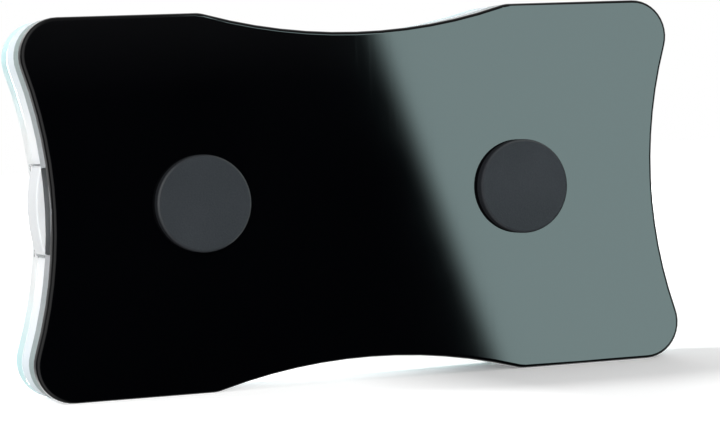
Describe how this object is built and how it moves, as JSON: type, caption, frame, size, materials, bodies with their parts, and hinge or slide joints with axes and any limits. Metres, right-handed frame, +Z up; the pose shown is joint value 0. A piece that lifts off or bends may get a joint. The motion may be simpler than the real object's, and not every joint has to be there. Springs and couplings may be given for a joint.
{
  "type": "dial score counter",
  "caption": "Flat waisted score counter standing on its long edge: layered acrylic case on rubber feet, with thumb dials turning in its short sides.",
  "frame": {"origin": "centre of the bounding box at the lowest point, on the surface that the long edge stands on", "axes": "+X along the length, +Y through the thickness towards the clear front, +Z up"},
  "size_m": [0.11, 0.0174, 0.06],
  "materials": {
    "base_acrylic": "polished black acrylic with rounded edge",
    "frosted_acrylic": "translucent grey acrylic with a satin cut edge",
    "white_housing": "milky white acrylic with a satin cut edge",
    "clear_acrylic": "clear acrylic with a pale cyan cut edge",
    "dial_plastic": "moulded off-white plastic, fine texture",
    "printed_disc": "printed film",
    "mask_film": "satin printed film",
    "dark_grey_plastic": "moulded dark grey plastic",
    "foot_rubber": "fine-grained dark grey rubber",
    "steel": "zinc-plated steel",
    "spring_steel": "spring steel",
    "brass": "turned brass"
  },
  "bodies": {
    "case": {"base_plate": "base_acrylic", "spacer_frame": "frosted_acrylic", "housing_frame": "white_housing", "clear_cover": "clear_acrylic", "locating_pin_lower_left": "steel", "locating_pin_lower_right": "steel", "locating_pin_upper_left": "steel", "locating_pin_upper_right": "steel", "window_mask_left": "mask_film", "pivot_post_left": "brass", "friction_washer_left": "spring_steel", "retainer_cap_left": "steel", "pivot_screw_left": "steel", "detent_block_left": "dark_grey_plastic", "detent_spring_left": "spring_steel", "rubber_foot_left": "foot_rubber", "window_mask_right": "mask_film", "pivot_post_right": "brass", "friction_washer_right": "spring_steel", "retainer_cap_right": "steel", "pivot_screw_right": "steel", "detent_block_right": "dark_grey_plastic", "detent_spring_right": "spring_steel", "rubber_foot_right": "foot_rubber"},
    "left_dial": {"dial_left": "dial_plastic", "number_disc_left": "printed_disc"},
    "right_dial": {"dial_right": "dial_plastic", "number_disc_right": "printed_disc"}
  },
  "joints": [
    {"name": "left_dial_spin", "type": "hinge", "parent": "case", "child": "left_dial", "pos_m": [-0.02725, 0.002, 0.03], "axis": [0, 1, 0], "continuous": true, "deforming": ["detent_spring_left"]},
    {"name": "right_dial_spin", "type": "hinge", "parent": "case", "child": "right_dial", "pos_m": [0.02725, 0.002, 0.03], "axis": [0, 1, 0], "continuous": true, "deforming": ["detent_spring_right"]}
  ]
}
